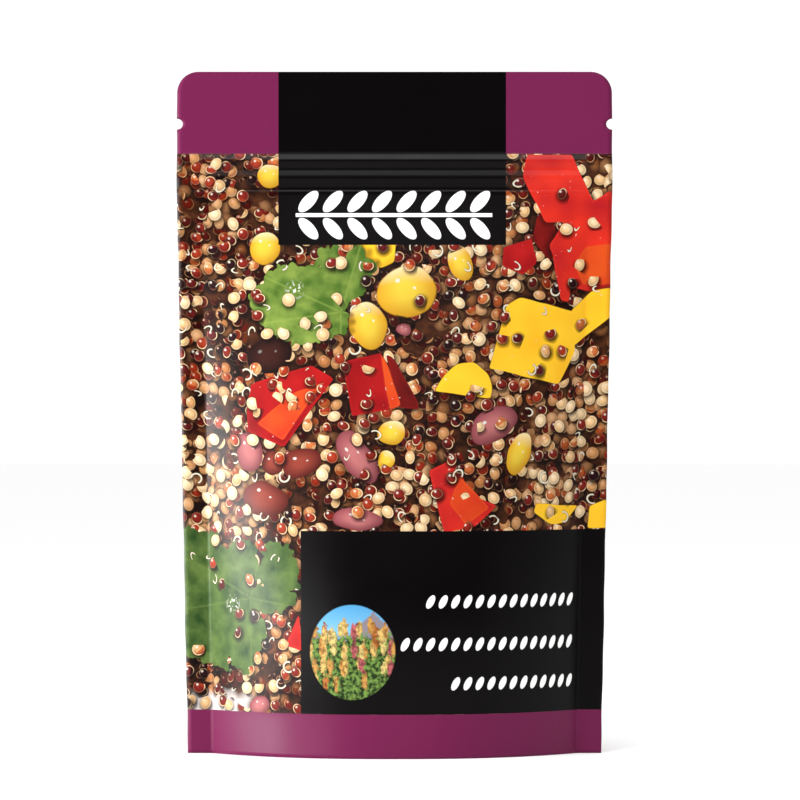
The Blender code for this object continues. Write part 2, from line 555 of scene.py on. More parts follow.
sheets = {
    # cell and radius are mm; fill is the share of cells with a grain, on the ground and on a piece
    "deep": {"cell": 5.0, "radius": 2.5, "scatter": 0.85, "shift": (3.0, 7.0, 0.0),
             "fill": (0.80, 0.45), "tint": (0.30, 0.17, 0.11), "shadow": 0.5, "soft": 0.34},
    "bed": {"cell": 4.8, "radius": 2.4, "scatter": 0.85, "shift": (51.0, 23.0, 0.0),
            "fill": (0.80, 0.25), "tint": (0.72, 0.50, 0.37), "shadow": 0.8, "soft": 0.12},
    "top": {"cell": 5.3, "radius": 2.45, "scatter": 0.95, "shift": (17.0, 91.0, 0.0),
            "fill": (0.56, 0.07), "tint": (1.0, 0.92, 0.84), "shadow": 0.85, "soft": 0.06},
    "loose": {"cell": 6.4, "radius": 2.5, "scatter": 1.0, "shift": (73.0, 57.0, 0.0),
              "fill": (0.42, 0.16), "tint": (1.14, 1.08, 1.04), "shadow": 0.9, "soft": 0.06},
}

anyTurn = 50.0  # radians; a cell's lot times this turns its grain any way

curlLook = {
    "cell": 7.6,
    "scatter": 1.0,
    "radius": 2.0,
    "widthEdge": (0.44, 0.176),
    "fill": 0.30,  # share of cells with a ring, on the ground
    "bareShare": 0.5,  # half as many lie on the pieces
    "squash": 1.5,
    "shift": (29.0, 11.0, 0.0),
    "colour": paint(250, 240, 214),
    "side": (1.0, 0.7, 0.0),  # the ring is open away from here
    "opening": 2.4,
    "ends": (-1.5, -1.1),
    "shadow": 0.6,
    "shadowEdge": (0.9, 0.2),
}


def scatter(desk, flat, spacing, squash):
    # cells of one grain each: its random lots, a place's offset from its middle,
    # the offset turned with the grain, and the grain's squash across its length
    moved = desk.vector("ADD", flat, spacing["shift"])
    middle = desk.cells(moved, 1.0 / spacing["cell"], spacing["scatter"], "Position")
    lots = desk.node("ShaderNodeSeparateColor", None, {0: middle.also("Color")})
    offset = desk.vector("MULTIPLY", desk.vector("SUBTRACT", moved, middle), (1.0, 1.0, 0.0))
    own = desk.node("ShaderNodeVectorRotate", {"rotation_type": "Z_AXIS"},
                    {"Vector": offset, "Angle": lots * anyTurn})
    flatness = desk.arrow(1.0, lots.also("Blue") * squash + 1.0)
    return lots, offset, own, flatness


def onGrain(place, radius):
    return (place[0] * radius, place[1] * radius, 0.0)


def strewGrains(desk, flat, under, sheet, mood, bare):
    # one sheet of grains, each in a cell of its own, laid over what is below it
    look, radius = grainLook, sheet["radius"]
    lots, offset, own, flatness = scatter(desk, flat, sheet, look["squash"])
    own = desk.vector("MULTIPLY", own, flatness)
    kind = desk.sum("ADD", lots * look["kindSpread"], mood, clamp=True)
    shrink = (kind * look["darkShrink"] + 1.0) * (1.0 / radius)
    reach = desk.length(own) * shrink

    fillOpen, fillBare = sheet["fill"]
    needed = bare * (fillOpen - fillBare) + (1.0 - fillOpen)
    here = desk.sum("GREATER_THAN", lots.also("Green"), needed)
    cast = desk.distance(offset, onGrain(look["shadowAt"], radius))
    far, near = look["shadowEdge"]
    shadow = desk.rise(cast, far * radius, near * radius) * here * sheet["shadow"]
    under = desk.mix(shadow, under, look["shade"])

    body = desk.node("ShaderNodeValToRGB", {"stops": look["kinds"], "hold": True}, {0: kind})
    toLight = desk.distance(offset, onGrain(look["litAt"], radius))
    dome = toLight * (-look["litFall"] / radius) - reach * look["edgeFall"] + look["litLevel"]
    dome = dome - desk.rise(abs(reach - look["bandAt"]), look["bandHalf"], 0.0) * look["band"]
    colour = desk.brighten(body, dome)
    ring = desk.rise(abs(reach - look["rimAt"]), *look["rimEdge"])
    arc = desk.rise(desk.dot(own, look["rimSide"]), 0.0, look["rimTurn"] * radius)
    arc = arc + look["rimLeast"]
    colour = desk.mix(ring * arc * body.also("Alpha"), colour, look["rim"])
    far, near = look["glintEdge"]
    glint = desk.rise(toLight, far * radius, near * radius) * look["glintShare"]
    colour = desk.mix(glint, colour, look["glint"])
    colour = desk.vector("MULTIPLY", colour, sheet["tint"])
    cover = desk.rise(reach, 1.0 + sheet["soft"], 1.0 - sheet["soft"]) * here
    return desk.mix(cover, under, colour)


def strewCurls(desk, flat, under, bare):
    # sprouted germs lying loose, each an open ring
    look = curlLook
    lots, _, own, flatness = scatter(desk, flat, look, look["squash"])
    fromRing = abs(desk.length(desk.vector("MULTIPLY", own, flatness)) - look["radius"])
    toSide = desk.dot(own, look["side"]) - lots.also("Blue") * look["opening"]
    arc = desk.rise(toSide, *look["ends"])
    needed = bare * (look["fill"] * look["bareShare"]) + (1.0 - look["fill"])
    here = desk.sum("GREATER_THAN", lots.also("Green"), needed)
    near = desk.rise(fromRing, *look["shadowEdge"]) * here * look["shadow"]
    under = desk.mix(near * arc, under, grainLook["shade"])
    ring = desk.rise(fromRing, *look["widthEdge"])
    return desk.mix(ring * arc * here, under, look["colour"])


# Ovals: middle x and z, half length, half width, turn in degrees
corn = {
    "ovals": [(4.7, 169.3, 10.8, 9.4, 5), (-9.7, 157.0, 7.0, 8.6, 12),
              (-47.3, 185.3, 5.4, 5.9, 0), (24.2, 179.5, 4.4, 6.8, 25),
              (-1.0, 117.7, 5.1, 4.2, -20), (46.8, 110.0, 4.2, 8.2, -20),
              (-3.1, 107.6, 2.6, 3.7, -30), (-45.3, 211.8, 5.1, 4.4, 0)],
    "light": paint(255, 218, 72),
    "deep": paint(236, 168, 36),
    "tip": paint(250, 226, 170),
}
paleBeans = {
    "ovals": [(-55.4, 110.8, 5.6, 7.2, 15), (-13.7, 109.0, 5.7, 11.0, 35),
              (36.8, 120.7, 9.2, 6.2, 28), (-13.2, 86.7, 9.2, 4.2, -5),
              (3.6, 155.4, 3.1, 2.2, 0), (-52.7, 18.3, 4.8, 3.3, 0)],
    "light": paint(204, 122, 122),
    "deep": paint(136, 64, 72),
}
brownBeans = {
    "ovals": [(-34.5, 106.9, 7.7, 5.5, 15), (-45.9, 106.7, 4.4, 4.4, 0),
              (-49.5, 93.6, 9.5, 6.2, -5)],
    "light": paint(156, 68, 54),
    "deep": paint(92, 28, 24),
}
darkBean = {
    "ovals": [(-46.1, 145.7, 9.2, 6.2, 20)],
    "light": paint(66, 30, 24),
    "deep": paint(26, 12, 12),
    "gloss": 0.2,
}

# Cut pieces: corners run round anticlockwise
redPieces = {
    "outlines": [
        [(46.8, 211.8), (55.6, 194.8), (64.5, 194.9), (75.5, 197.4), (65.1, 219.5), (48.6, 219.5)],
        [(62.0, 172.1), (73.0, 169.2), (81.0, 169.2), (79.8, 206.6), (64.4, 198.5), (56.8, 186.0)],
        [(59.7, 173.5), (61.8, 165.9), (65.0, 165.5), (65.9, 180.2), (57.5, 185.3)],
        [(12.4, 104.0), (18.0, 81.6), (29.5, 83.7), (24.5, 104.0), (20.9, 108.3)],
        [(22.0, 83.0), (29.5, 83.7), (37.8, 91.3), (24.5, 97.0)],
        [(-34.3, 38.8), (-35.5, 52.2), (-41.2, 40.5)],
    ],
    "light": paint(252, 58, 38),
    "deep": paint(192, 32, 38),
}
darkReds = {
    "outlines": [
        [(39.4, 179.0), (47.2, 175.3), (52.4, 180.1), (50.5, 188.6), (40.1, 185.6)],
        [(-15.5, 123.7), (-1.9, 126.1), (-4.7, 147.1), (-19.2, 143.4)],
        [(-56.1, 126.3), (-55.9, 118.0), (-41.1, 112.5), (-22.0, 137.5), (-30.2, 142.6),
         (-53.6, 135.5)],
    ],
    "light": paint(208, 32, 32),
    "deep": paint(150, 12, 20),
}
redSides = {
    "outlines": [
        [(1.3, 127.0), (8.8, 126.1), (8.8, 128.9), (-0.5, 145.2), (-2.9, 146.2)],
        [(50.5, 188.6), (57.0, 180.0), (61.0, 186.0), (58.0, 196.0), (53.0, 199.0)],
    ],
    "light": paint(150, 26, 22),
    "deep": paint(84, 12, 14),
}
orangePieces = {
    "outlines": [
        [(-1.8, 126.1), (2.3, 127.9), (-2.4, 142.9), (-5.0, 146.9)],
        [(-52.0, 121.0), (-41.5, 115.0), (-26.0, 136.0), (-36.0, 133.0)],
        [(20.0, 92.0), (26.0, 84.5), (35.0, 90.5), (23.5, 102.5)],
        [(70.0, 172.0), (81.0, 172.0), (80.0, 187.0), (70.5, 186.0), (66.5, 179.0)],
    ],
    "light": paint(244, 96, 34),
    "deep": paint(226, 52, 32),
    "shadow": 0.0,  # these are the sunlit insides of the red ones
}
yellowPieces = {
    "outlines": [
        [(24.2, 131.5), (35.0, 129.8), (36.1, 134.1), (34.5, 139.2), (28.9, 143.4), (22.7, 142.8),
         (17.6, 138.2), (14.5, 132.6)],
        [(62.1, 135.4), (68.5, 147.0), (67.6, 161.8), (46.2, 167.3), (41.1, 164.3), (34.7, 141.3)],
        [(68.0, 149.4), (81.3, 160.4), (80.6, 170.7), (73.7, 169.9), (65.6, 161.8)],
        [(53.6, 88.7), (61.7, 84.2), (68.6, 85.0), (75.0, 90.8), (54.6, 92.1)],
        [(80.1, 82.6), (87.1, 82.6), (86.1, 93.2), (80.1, 90.8)],
        [(-11.9, 182.3), (-5.3, 177.9), (-0.2, 180.1), (0.5, 186.7), (-14.1, 186.7)],
    ],
    "light": paint(284, 229, 56),
    "deep": paint(278, 207, 44),
}

leafOne = {
    "outlines": [
        [(-50.9, 159.8), (-48.0, 155.3), (-44.5, 153.2), (-35.7, 149.3), (-29.0, 150.7),
         (-20.3, 152.5), (-16.4, 155.3), (-16.4, 158.1), (-19.6, 166.5), (-26.9, 179.5),
         (-31.8, 180.2), (-38.8, 179.5), (-46.6, 176.7), (-50.9, 171.1), (-54.6, 165.8)],
        [(-26.9, 168.6), (-19.6, 161.6), (-11.8, 168.6), (-8.0, 174.2), (-5.9, 178.6),
         (-8.3, 181.9), (-13.9, 186.0), (-26.7, 186.0), (-28.5, 183.0)],
    ],
    "stem": (-19.6, 161.8),
    "wetSpot": (-36.5, 170.0),
    "light": paint(158, 182, 84),
    "deep": paint(80, 116, 40),
}
leafTwo = {
    "outlines": [
        [(-71.5, 57.5), (-59.0, 57.5), (-51.2, 65.4), (-53.1, 77.2), (-62.5, 78.9), (-71.5, 73.7)],
        [(-54.6, 66.9), (-48.2, 57.5), (-35.4, 61.5), (-34.9, 69.3), (-39.4, 76.2), (-47.2, 79.2),
         (-51.2, 72.8)],
        [(-57.5, 52.6), (-48.2, 51.6), (-37.4, 55.1), (-36.4, 59.5), (-44.3, 62.5), (-59.0, 61.5)],
        [(-71.5, 39.9), (-62.5, 31.0), (-57.5, 29.1), (-53.1, 36.9), (-50.2, 41.8), (-49.2, 46.7),
         (-55.1, 59.5), (-71.5, 58.5)],
        [(-96.0, 37.4), (-71.8, 31.0), (-67.6, 31.0), (-67.6, 72.8), (-72.3, 80.6), (-96.0, 84.1)],
    ],
    "stem": (-56.5, 57.5),
    "wetSpot": (-65.5, 55.2),
    "light": paint(116, 142, 72),
    "deep": paint(46, 78, 34),
}

ovalLook = {
    # in shares of an oval's half sizes
    "shadowEdge": (1.5, 0.9),
    "deepEdge": (0.3, 1.05),
    "tipEdge": (0.30, 0.95),
    "litSide": (-0.12, 0.20, 0.0),
    "litLevel": 0.98,
    "glintAt": (-0.28, 0.42, 0.0),
    "secondAt": (0.30, 0.12, 0.0),
    "secondSmaller": 1.7,
    "gloss": 0.9,
    "glintEdge": (0.11, 0.055),
    "edge": 0.03,
}

pieceLook = {
    "shade": paint(22, 9, 6),
    "shadow": 0.8,
    "shadowEdge": (2.2, -0.2),  # mm from a piece's outline
    "glint": paint(255, 252, 244),
    "wetEdge": (0.75, 0.78),
    "wetShare": 0.5,
    "rimWidth": 4.0,  # mm that a cut piece darkens along its outline
    "rimShare": 0.25,
    "lineAt": 0.45,  # a lighter line just inside the outline
    "lineHalf": 0.40,
    "lineShare": 0.45,
    "edge": 0.16,
    "bend": 2.4,  # mm that the round pieces' outlines wander
    "cutBend": 0.7,  # mm for the cut pieces
    "corner": 1.6,  # how far a corner is rounded, in mm
    "toothPitch": 3.2,  # mm between a leaf's teeth
    "toothDepth": 3.0,
    "toothOut": 1.2,
    "toothScatter": 0.7,
    "leafShadowEdge": (2.4, -0.2),
    "ribs": 2.2,
    "ribStart": 0.1,
    "ribHalf": 0.42,
    "ribEdge": 0.1,
    "ribShare": 0.4,
    "spotEdge": (4.0, 1.0),  # mm from the middle of a leaf's wet spot
    "spotWet": (0.54, 0.58),
}


def nearest(desk, flat, ovals):
    # the coordinates of whichever oval a place lies deepest in, and how far out it lies there
    local = reach = None
    for x, z, length, width, turn in ovals:
        own = desk.local(flat, (x, z), (length, width), turn)
        far = desk.length(own)
        if reach is None:
            local, reach = own, far
            continue
        closer = desk.sum("LESS_THAN", far, reach)
        choice = {0: closer, 4: local, 5: own}
        local = desk.node("ShaderNodeMix", {"data_type": "VECTOR"}, choice, 1)
        reach = desk.sum("MINIMUM", far, reach)
    return local, reach


def layOvals(desk, flat, under, kind):
    look = ovalLook
    local, reach = nearest(desk, flat, kind["ovals"])
    shadow = desk.rise(reach, *look["shadowEdge"]) * pieceLook["shadow"]
    under = desk.mix(shadow, under, pieceLook["shade"])
    colour = desk.mix(desk.rise(reach, *look["deepEdge"]), kind["light"], kind["deep"])
    if "tip" in kind:
        tip = desk.rise(desk.dot(local, (0.0, 1.0, 0.0)), *look["tipEdge"])
        colour = desk.mix(tip, colour, kind["tip"])
    colour = desk.brighten(colour, desk.dot(local, look["litSide"]) + look["litLevel"])
    second = desk.distance(local, look["secondAt"]) * look["secondSmaller"]
    toGlint = desk.sum("MINIMUM", desk.distance(local, look["glintAt"]), second)
    glint = desk.rise(toGlint, *look["glintEdge"])
    colour = desk.mix(glint * kind.get("gloss", look["gloss"]), colour, pieceLook["glint"])
    cover = desk.rise(reach, 1.0 + look["edge"], 1.0 - look["edge"])
    return desk.mix(cover, under, colour), cover


def outlineDepth(desk, point, outlines):
    # how far outside the nearest convex outline a place lies, in mm; inside it is below 0
    depths = []
    for corners in outlines:
        edges = []
        for (x0, z0), (x1, z1) in zip(corners, corners[1:] + corners[:1]):
            span = hypot(x1 - x0, z1 - z0)
            outX, outZ = (z1 - z0) / span, (x0 - x1) / span
            edges.append(desk.dot(point, (outX, outZ, -outX * x0 - outZ * z0)))
        depths.append(desk.fold("SMOOTH_MAX", edges, pieceLook["corner"]))
    return desk.fold("MINIMUM", depths)


def layPieces(desk, point, under, kind, tone, wet):
    look = pieceLook
    shadow = kind.get("shadow", look["shadow"])
    depth = outlineDepth(desk, point, kind["outlines"])
    under = desk.mix(desk.rise(depth, *look["shadowEdge"]) * shadow, under, look["shade"])
    colour = desk.mix(tone, kind["deep"], kind["light"])
    rim = desk.rise(depth, -look["rimWidth"], 0.0) * look["rimShare"]
    colour = desk.mix(rim, colour, kind["deep"])
    colour = desk.mix(desk.rise(wet, *look["wetEdge"]) * look["wetShare"], colour, look["glint"])
    line = desk.rise(abs(depth + look["lineAt"]), look["lineHalf"], 0.0) * look["lineShare"]
    colour = desk.mix(line, colour, kind["light"])
    cover = desk.rise(depth, look["edge"], -look["edge"])
    return desk.mix(cover, under, colour), cover


def layLeaf(desk, flat, point, under, kind, tone, wet):
    # a leaf with rounded teeth along its edge and ribs that run out from its stem
    look = pieceLook
    depth = outlineDepth(desk, point, kind["outlines"])
    teeth = desk.cells(flat, 1.0 / look["toothPitch"], look["toothScatter"])
    depth = teeth * look["toothDepth"] + depth - look["toothOut"]
    shadow = desk.rise(depth, *look["leafShadowEdge"]) * look["shadow"]
    under = desk.mix(shadow, under, look["shade"])
    parts = desk.parts(desk.vector("SUBTRACT", flat, (*kind["stem"], 0.0)))
    heading = desk.sum("ARCTAN2", parts.also("Y"), parts) * (look["ribs"] / pi) + look["ribStart"]
    ribs = desk.sum("PINGPONG", heading, 0.5) * desk.distance(flat, (*kind["stem"], 0.0))
    colour = desk.mix(tone, kind["deep"], kind["light"])
    rib = desk.rise(ribs, look["ribHalf"], look["ribEdge"]) * look["ribShare"]
    colour = desk.mix(rib, colour, kind["light"])
    toSpot = desk.distance(flat, (*kind["wetSpot"], 0.0))
    glints = desk.rise(toSpot, *look["spotEdge"]) * desk.rise(wet, *look["spotWet"])
    colour = desk.mix(glints, colour, look["glint"])
    cover = desk.rise(depth, look["edge"], -look["edge"])
    return desk.mix(cover, under, colour), cover


picture = {
    # sizes are mm across a patch of the cloud that varies it
    "moodSize": 24.0,  # one kind of grain
    "moodSwing": 1.5,
    "paleSpots": [(-66.0, 100.0), (70.0, 108.0)],
    "paleEdge": (30.0, 8.0),
    "paleShift": 0.34,
    "hollowSize": 15.0,  # places with fewer grains
    "hollowEdge": (0.54, 0.66),
    "hollowShare": 0.8,
    "mottleSize": 5.5,
    "mottleEdge": (0.35, 0.68),
    "bendSize": 9.0,
    "wetSize": 1.3,
    "tone": (1.4, 0.6, -0.5),  # of the bending, of the mood, and a level
    "leafTone": (1.7, 0.4, -0.64),  # of the mottle, of the tone, and a level
    "leafDark": 0.45,  # the upper leaf darkens to the right by this
    "leafDarkEdge": (-34.0, -8.0),
    "patchTop": (27.0, 23.0),  # a bare white corner at the lower left
    "patchSide": (-52.0, -57.0),
    "patchWander": 6.0,
    "gaps": (paint(24, 10, 7), paint(92, 50, 28)),
    "whitePatch": paint(232, 222, 216),
    "heaps": [(-38.0, 137.0), (22.0, 105.0)],  # places where grain lies thickly on a piece
    "heapEdge": (4.8, 12.0),
    "exposure": 0.64,
    "backThinning": 0.5,  # how much the mottle thins the grain on the back
}


def cloud(desk, flat, size, detail=1.0, shift=0.0):
    return desk.noise(desk.vector("ADD", flat, (shift, 0.0, shift)), 1.0 / size, detail)


def nearestSpot(desk, flat, spots):
    return desk.fold("MINIMUM", [desk.distance(flat, (x, z, 0.0)) for x, z in spots])


def grainGround(desk, flat):
    # the dark ground between the grains, its mottle, and the mood that decides their kinds
    look = picture
    mottle = cloud(desk, flat, look["mottleSize"], detail=2.0, shift=40.0)
    drift = cloud(desk, flat, look["moodSize"])
    mood = (drift - 0.5) * look["moodSwing"] + grainLook["kindStart"]
    return desk.mix(desk.rise(mottle, *look["mottleEdge"]), *look["gaps"]), mottle, drift, mood


def grainPicture(desk, flat):
    # mixed grain with vegetables, as fields of colour and simple shapes
    look = picture
    colour, mottle, drift, mood = grainGround(desk, flat)
    toPale = nearestSpot(desk, flat, look["paleSpots"])
    mood = mood - desk.rise(toPale, *look["paleEdge"]) * look["paleShift"]
    thinning = cloud(desk, flat, look["hollowSize"], shift=90.0)
    hollow = desk.rise(thinning, *look["hollowEdge"])
    for name in ("deep", "bed"):
        colour = strewGrains(desk, flat, colour, sheets[name], mood, hollow)
    corner = desk.parts(flat)
    patch = desk.rise(corner.also("Y") + mottle * look["patchWander"], *look["patchTop"])
    patch = patch * desk.rise(corner, *look["patchSide"])
    colour = desk.mix(patch, colour, look["whitePatch"])

    bending = cloud(desk, flat, look["bendSize"], detail=0.0, shift=15.0)
    wander = desk.vector("SUBTRACT", bending.also("Color"), (0.5, 0.5, 0.5))
    bend, cutBend = pieceLook["bend"], pieceLook["cutBend"]
    bent = desk.vector("MULTIPLY_ADD", wander, (bend, bend, 0.0), flat)
    cut = desk.vector("MULTIPLY_ADD", wander, (cutBend, cutBend, 0.0), flat)
    # an outline's edges are dot products with (x, z, 1)
    cutPoint, leafPoint = [desk.vector("MULTIPLY_ADD", place, (1.0, 1.0, 0.0), (0.0, 0.0, 1.0))
                           for place in (cut, bent)]
    ofBending, ofDrift, level = look["tone"]
    tone = desk.sum("ADD", bending * ofBending, drift * ofDrift + level, clamp=True)
    ofMottle, ofTone, level = look["leafTone"]
    shady = desk.rise(corner, *look["leafDarkEdge"]) * -look["leafDark"] + level
    leafTone = desk.sum("ADD", mottle * ofMottle + tone * ofTone, shady, clamp=True)
    wet = cloud(desk, flat, look["wetSize"], shift=60.0)

    covers = []
    for kind in (darkBean, brownBeans, paleBeans):
        colour, cover = layOvals(desk, bent, colour, kind)
        covers.append(cover)
    colour, cover = layLeaf(desk, flat, leafPoint, colour, leafTwo, leafTone, wet)
    covers.append(cover)
    for kind in (redSides, darkReds, redPieces, orangePieces, yellowPieces):
        colour, cover = layPieces(desk, cutPoint, colour, kind, tone, wet)
        covers.append(cover)
    colour, cover = layOvals(desk, bent, colour, corn)
    covers.append(cover)
    colour, cover = layLeaf(desk, flat, leafPoint, colour, leafOne, leafTone, wet)
    covers.append(cover)
    toHeap = nearestSpot(desk, flat, look["heaps"])
    bare = desk.fold("MAXIMUM", covers) * desk.rise(toHeap, *look["heapEdge"])
    thin = desk.sum("MAXIMUM", bare, hollow * look["hollowShare"])
    for name in ("top", "loose"):
        colour = strewGrains(desk, flat, colour, sheets[name], mood, thin)
    colour = strewCurls(desk, flat, colour, bare)
    return desk.brighten(colour, look["exposure"])


layout = {
    "pictureTop": 219.9,
    "bandTop": 16.0,
    "bannerLeft": -42.6,
    "bannerRight": 40.9,
    "bannerFoot": 186.4,
    "beyond": 400.0,  # past any edge of the film
    "panelLeft": -34.7,
    "panelTop": 82.3,
    "viewMiddle": (-15.4, 38.5),
    "viewHalf": (15.7, 17.2),
    "sprigMiddle": (-0.2, 197.4),
    "sprigPairs": 8,
    "sprigPitch": 9.0,
    "rowRight": 75.2,
    "rowPitch": 4.6,
    "rows": [(56.8, 14), (41.4, 16), (27.1, 12)],  # height and number of seeds
    "backHalf": 62.0,
    "backFoot": 30.0,
    "backRows": [(196.0, 8), (60.0, 11), (46.0, 11)],
}


fieldLook = {
    "skyHigh": paint(72, 142, 186),
    "skyLow": paint(112, 168, 204),
    "hill": paint(124, 116, 124),
    "leafDark": paint(30, 46, 22),
    "leafLight": paint(104, 134, 62),
    "plumes": [
        (0.0, paint(176, 128, 66)), (0.34, paint(192, 158, 92)), (0.60, paint(160, 96, 46)),
        (0.80, paint(160, 82, 84)), (0.9, paint(190, 168, 104)),
    ],
    # sizes are shares of the view's half sizes
    "edge": 0.012,
    "rippleScale": 11.0,
    "skyEdge": (1.0, 0.4),
    "ridgeSlope": 0.9,
    "ridgePeak": 0.36,  # moves the hill's peak to the left
    "ridgeHeight": 0.8,
    "ridgeLift": 0.06,
    "ridgeRough": 0.14,
    "ridgeEdge": (-0.02, 0.03),
    "leafEdge": (0.40, 0.64),
    "cropTop": 0.36,
    "cropRough": 0.5,
    "cropEdge": (-0.02, 0.05),
    "ragged": (0.13, 0.30, 0.0),
    "plumePitch": (6.0, 2.6),  # plumes in a unit across and up
    "plumeLayers": [(0.0, 0.50), (5.0, 0.42)],  # shift, and how few stand low down
    "plumeScatter": 0.85,
    "plumeTop": 0.74,
    "plumeThinning": 0.6,
    "plumeEdge": (0.50, 0.42),
    "plumeRough": 0.5,
    "litEdge": (0.36, 0.62),
    "lit": (0.7, 0.45),
}


def fieldView(desk, flat):
    # a small round view: sky, a hill, and a crop with upright plumes
    look = fieldLook
    own = desk.local(flat, layout["viewMiddle"], layout["viewHalf"])
    disc = desk.rise(desk.length(own), 1.0 + look["edge"], 1.0 - look["edge"])
    right = desk.parts(own)
    up = right.also("Y")
    ripple = desk.noise(own, look["rippleScale"], 3.0, "2D")
    rough = ripple - 0.5
    colour = desk.mix(desk.rise(up, *look["skyEdge"]), look["skyHigh"], look["skyLow"])
    slope = right * look["ridgeSlope"] + look["ridgePeak"]
    ridge = desk.sum("PINGPONG", slope, look["ridgeHeight"]) + rough * look["ridgeRough"]
    ridge = ridge + look["ridgeLift"]
    colour = desk.mix(desk.rise(ridge - up, *look["ridgeEdge"]), colour, look["hill"])
    leaves = desk.mix(desk.rise(ripple, *look["leafEdge"]), look["leafDark"], look["leafLight"])
    crop = rough * look["cropRough"] + look["cropTop"]
    colour = desk.mix(desk.rise(crop - up, *look["cropEdge"]), colour, leaves)
    # plumes stand in columns and get fewer lower down
    ragged = desk.vector("MULTIPLY_ADD", ripple.also("Color"), look["ragged"], own)
    pitchAcross, pitchUp = look["plumePitch"]
    for shift, fewest in look["plumeLayers"]:
        stretched = desk.vector("MULTIPLY_ADD", ragged, (pitchAcross, pitchUp, 0.0),
                                (shift, shift, 0.0))
        plume = desk.cells(stretched, 1.0, look["plumeScatter"])
        lots = desk.node("ShaderNodeSeparateColor", None, {0: plume.also("Color")})
        height = (desk.parts(plume.also("Position")).also("Y") - shift) / pitchUp
        stands = desk.sum("LESS_THAN", height, look["plumeTop"])
        lot = lots.also("Green") + height * look["plumeThinning"]
        chosen = desk.sum("GREATER_THAN", lot, fewest)
        petals = desk.node("ShaderNodeValToRGB", {"stops": look["plumes"], "hold": True}, {0: lots})
        gain, least = look["lit"]
        petals = desk.brighten(petals, desk.rise(ripple, *look["litEdge"]) * gain + least)
        spike = desk.rise(plume + rough * look["plumeRough"], *look["plumeEdge"])
        colour = desk.mix(spike * stands * chosen, colour, petals)
    return colour, disc


seedLook = {
    "tilt": -28.0,  # degrees
    "half": (1.25, 2.6),  # mm
    "edge": 0.06,
}


def seedRows(desk, x, z, rows, start, reach):
    # rows of small tilted seeds; reach is how far a row runs to each side, in its own lengths
    look, pitch = seedLook, layout["rowPitch"]
    along = x - start
    across = desk.sum("WRAP", along, pitch, 0.0) - pitch / 2
    low, high = reach
    laid = []
    for middle, seeds in rows:
        own = desk.local(desk.arrow(across, z - middle), (0.0, 0.0), look["half"], look["tilt"])
        seed = desk.rise(desk.length(own), 1.0 + look["edge"], 1.0 - look["edge"])
        length = pitch * seeds
        laid.append(seed * desk.inside(along, low * length, high * length))
    return desk.fold("MAXIMUM", laid)


sprigLook = {
    "lean": -0.62,
    "start": 3.0,
    "leafOut": 5.0,  # mm from the stem to a leaf's middle
    "leafHalf": (2.7, 3.9),
    "leafEdge": (1.04, 0.97),
    "stemEdge": (0.75, 0.6),
}


def sprig(desk, flat):
    # a stem with pairs of grain-shaped leaves
    look, pitch = sprigLook, layout["sprigPitch"]
    half = pitch * layout["sprigPairs"] / 2
    parts = desk.parts(desk.local(flat, layout["sprigMiddle"]))
    beside = abs(parts.also("Y"))
    leaned = parts + beside * look["lean"] + look["start"]
    wrapped = desk.sum("WRAP", leaned, pitch, 0.0) - pitch / 2
    leaf = desk.arrow(wrapped, beside - look["leafOut"])
    wide, tall = look["leafHalf"]
    body = desk.length(desk.vector("MULTIPLY", leaf, (1 / wide, 1 / tall, 0.0)))
    leaves = desk.rise(body, *look["leafEdge"]) * desk.inside(leaned, -half, half)
    stem = desk.rise(beside, *look["stemEdge"]) * desk.inside(parts, -half, half)
    return desk.sum("MAXIMUM", leaves, stem)


def printPlace(desk):
    flat = desk.node("ShaderNodeUVMap", {"uv_map": "print"})
    x = desk.parts(flat)
    return flat, x, x.also("Y")


def addBands(desk, z, colour):
    between = desk.inside(z, layout["bandTop"], layout["pictureTop"])
    return desk.mix(between, inks["purple"], colour)


def frontFilm():
    film, desk = newFilm("frontFilm")
    flat, x, z = printPlace(desk)
    colour = addBands(desk, z, grainPicture(desk, flat))
    banner = desk.inside(x, layout["bannerLeft"], layout["bannerRight"])
    banner = banner * desk.inside(z, layout["bannerFoot"], layout["beyond"])
    panel = desk.inside(x, layout["panelLeft"], layout["beyond"])
    panel = panel * desk.inside(z, layout["bandTop"], layout["panelTop"])
    colour = desk.mix(desk.sum("ADD", banner, panel, clamp=True), colour, inks["black"])
    field, disc = fieldView(desk, flat)
    colour = desk.mix(disc, colour, field)
    rows = seedRows(desk, x, z, layout["rows"], layout["rowRight"], (-1.0, 0.0))
    white = desk.sum("MAXIMUM", sprig(desk, flat), rows)
    closeFilm(desk, desk.mix(white, colour, inks["white"]))
    return film


def backFilm():
    # the same bands and grain, with a plain black panel
    film, desk = newFilm("backFilm")
    flat, x, z = printPlace(desk)
    colour, mottle, _, mood = grainGround(desk, flat)
    thin = mottle * picture["backThinning"]
    for sheet in sheets.values():
        colour = strewGrains(desk, flat, colour, sheet, mood, thin)
    colour = addBands(desk, z, desk.brighten(colour, picture["exposure"]))
    panel = desk.inside(x, -layout["backHalf"], layout["backHalf"])
    panel = panel * desk.inside(z, layout["backFoot"], layout["pictureTop"])
    colour = desk.mix(panel, colour, inks["black"])
    white = seedRows(desk, x, z, layout["backRows"], 0.0, (-1.0, 1.0))
    closeFilm(desk, desk.mix(white, colour, inks["white"]))
    return film


def baseFilm():
    film, desk = newFilm("baseFilm")
    closeFilm(desk, inks["purple"])
    return film


# Studio

